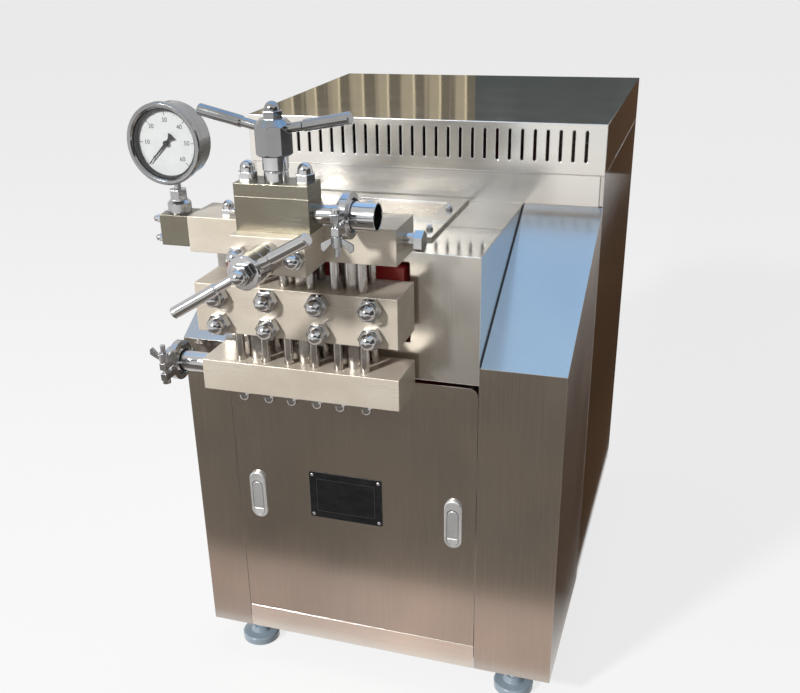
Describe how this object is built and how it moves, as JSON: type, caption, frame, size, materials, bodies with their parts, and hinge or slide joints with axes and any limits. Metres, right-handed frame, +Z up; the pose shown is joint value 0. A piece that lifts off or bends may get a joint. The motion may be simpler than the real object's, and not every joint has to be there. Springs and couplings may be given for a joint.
{
  "type": "dairy homogenizer",
  "caption": "Three-plunger high-pressure dairy homogenizer: stainless cabinet on levelling feet, pump blocks, two pressure stages with bar handwheels and a gauge.",
  "frame": {"origin": "under the middle of the machine's box, on the floor plane of the feet", "axes": "+Z up, -Y the front with the pump head, +X to the right seen from the front"},
  "size_m": [0.6182, 1.085, 1.0105],
  "materials": {
    "satin_steel": "satin brushed stainless sheet",
    "bright_steel": "bright satin stainless sheet",
    "mirror_steel": "mirror-polished stainless sheet",
    "machined_steel": "machined stainless block",
    "stage_steel": "ground stainless block",
    "polished_steel": "polished stainless",
    "frame_steel": "grey painted tube",
    "foot_metal": "blue-grey painted foot",
    "red_casting": "red painted casting",
    "motor_paint": "blue-grey motor paint",
    "cast_pulley": "machined cast iron",
    "shaft_steel": "turned steel",
    "belt_rubber": "black rubber",
    "gland_bronze": "bronze",
    "latch_metal": "satin die-cast metal",
    "gauge_glass": "clear flat glass",
    "needle_black": "matte black"
  },
  "bodies": {
    "machine": {"base_frame": "frame_steel", "feet": "foot_metal", "left_column": "satin_steel", "right_column": "satin_steel", "skirt": "satin_steel", "crankcase_cover": "satin_steel", "inspection_lid": "bright_steel", "lid_bolts": "polished_steel", "rear_band": "bright_steel", "vent_hood": "bright_steel", "side_panels": "mirror_steel", "back_panel": "satin_steel", "crankcase": "red_casting", "motor": "motor_paint", "v_belts": "belt_rubber", "suction_block": "machined_steel", "pump_block": "machined_steel", "discharge_block": "machined_steel", "valve_sleeves": "machined_steel", "tie_studs": "polished_steel", "tie_nuts": "polished_steel", "face_nuts": "polished_steel", "plunger_glands": "gland_bronze", "stage1_body": "stage_steel", "stage1_cap": "stage_steel", "stage1_bonnet": "machined_steel", "stage2_body": "machined_steel", "stage2_bonnet": "machined_steel", "stage_nuts": "polished_steel", "gauge_block": "stage_steel", "gauge_bolts": "polished_steel", "gauge_stem": "polished_steel", "gauge_case": "polished_steel", "gauge_glass": "gauge_glass", "inlet_pipe": "polished_steel", "inlet_clamp": "polished_steel", "outlet_pipe": "polished_steel", "outlet_clamp": "polished_steel", "end_plug": "polished_steel"},
    "front_panel": {"front_panel": "satin_steel", "latch_bezels": "latch_metal"},
    "latch_handle_left": {"latch_handle_left": "latch_metal"},
    "latch_handle_right": {"latch_handle_right": "latch_metal"},
    "latch_button_left": {"latch_button_left": "latch_metal"},
    "latch_button_right": {"latch_button_right": "latch_metal"},
    "drive": {"drive_shaft": "shaft_steel", "drive_pulley": "cast_pulley"},
    "motor_rotor": {"motor_shaft": "shaft_steel", "motor_pulley": "cast_pulley"},
    "plunger_1": {"plunger_1": "polished_steel"},
    "plunger_2": {"plunger_2": "polished_steel"},
    "plunger_3": {"plunger_3": "polished_steel"},
    "stage1_handwheel": {"stage1_handwheel": "polished_steel"},
    "stage1_rod": {"stage1_rod": "shaft_steel"},
    "stage2_handwheel": {"stage2_handwheel": "polished_steel"},
    "stage2_rod": {"stage2_rod": "shaft_steel"},
    "gauge_needle": {"gauge_needle": "needle_black"},
    "inlet_wing_nut": {"inlet_wing_nut": "polished_steel"},
    "outlet_wing_nut": {"outlet_wing_nut": "polished_steel"}
  },
  "joints": [
    {"name": "front_panel_tilt", "type": "hinge", "parent": "machine", "child": "front_panel", "pos_m": [-0.02587, -0.2775, 0.582], "axis": [-1, 0, 0], "range_deg": [0, 25]},
    {"name": "latch_handle_left_flip", "type": "hinge", "parent": "front_panel", "child": "latch_handle_left", "pos_m": [-0.19487, -0.2795, 0.374], "axis": [-1, 0, 0], "range_deg": [0, 35]},
    {"name": "latch_button_left_press", "type": "slide", "parent": "front_panel", "child": "latch_button_left", "axis": [0, 1, 0], "range_m": [0, 0.0025], "stiffness_N_per_m": 400},
    {"name": "latch_handle_right_flip", "type": "hinge", "parent": "front_panel", "child": "latch_handle_right", "pos_m": [0.14313, -0.2795, 0.374], "axis": [-1, 0, 0], "range_deg": [0, 35]},
    {"name": "latch_button_right_press", "type": "slide", "parent": "front_panel", "child": "latch_button_right", "axis": [0, 1, 0], "range_m": [0, 0.0025], "stiffness_N_per_m": 400},
    {"name": "drive_spin", "type": "hinge", "parent": "machine", "child": "drive", "pos_m": [0.22612, 0.1025, 0.6], "axis": [1, 0, 0], "continuous": true},
    {"name": "motor_spin", "type": "hinge", "parent": "machine", "child": "motor_rotor", "pos_m": [0.22612, 0.3225, 0.232], "axis": [1, 0, 0], "continuous": true},
    {"name": "plunger_1_stroke", "type": "slide", "parent": "machine", "child": "plunger_1", "axis": [0, 1, 0], "range_m": [0, 0.04]},
    {"name": "plunger_2_stroke", "type": "slide", "parent": "machine", "child": "plunger_2", "axis": [0, 1, 0], "range_m": [0, 0.04]},
    {"name": "plunger_3_stroke", "type": "slide", "parent": "machine", "child": "plunger_3", "axis": [0, 1, 0], "range_m": [0, 0.04]},
    {"name": "stage1_turn", "type": "hinge", "parent": "machine", "child": "stage1_handwheel", "pos_m": [-0.06988, -0.3965, 0.965], "axis": [0, 0, -1], "range_deg": [-270, 270]},
    {"name": "stage1_rod_travel", "type": "slide", "parent": "machine", "child": "stage1_rod", "axis": [0, 0, -1], "range_m": [-0.0015, 0.0015]},
    {"name": "stage2_turn", "type": "hinge", "parent": "machine", "child": "stage2_handwheel", "pos_m": [-0.06988, -0.5035, 0.8185], "axis": [0, 1, 0], "range_deg": [-270, 270]},
    {"name": "stage2_rod_travel", "type": "slide", "parent": "machine", "child": "stage2_rod", "axis": [0, 1, 0], "range_m": [-0.0015, 0.0015]},
    {"name": "gauge_needle_sweep", "type": "hinge", "parent": "machine", "child": "gauge_needle", "pos_m": [-0.24688, -0.3495, 0.945], "axis": [0, 1, 0], "range_deg": [0, 270], "stiffness_Nm_per_rad": 0.001},
    {"name": "inlet_wing_nut_turn", "type": "hinge", "parent": "machine", "child": "inlet_wing_nut", "pos_m": [-0.28713, -0.3755, 0.62], "axis": [0, 0, 1], "range_deg": [0, 450]},
    {"name": "outlet_wing_nut_turn", "type": "hinge", "parent": "machine", "child": "outlet_wing_nut", "pos_m": [0.02937, -0.4425, 0.845], "axis": [0, 0, 1], "range_deg": [0, 450]}
  ],
  "couplings": [
    {"joint": "motor_spin", "follows": "drive_spin", "ratio": 2.1429},
    {"joint": "stage1_rod_travel", "follows": "stage1_turn", "m_per_rad": 0.0003183},
    {"joint": "stage2_rod_travel", "follows": "stage2_turn", "m_per_rad": 0.0003183}
  ]
}
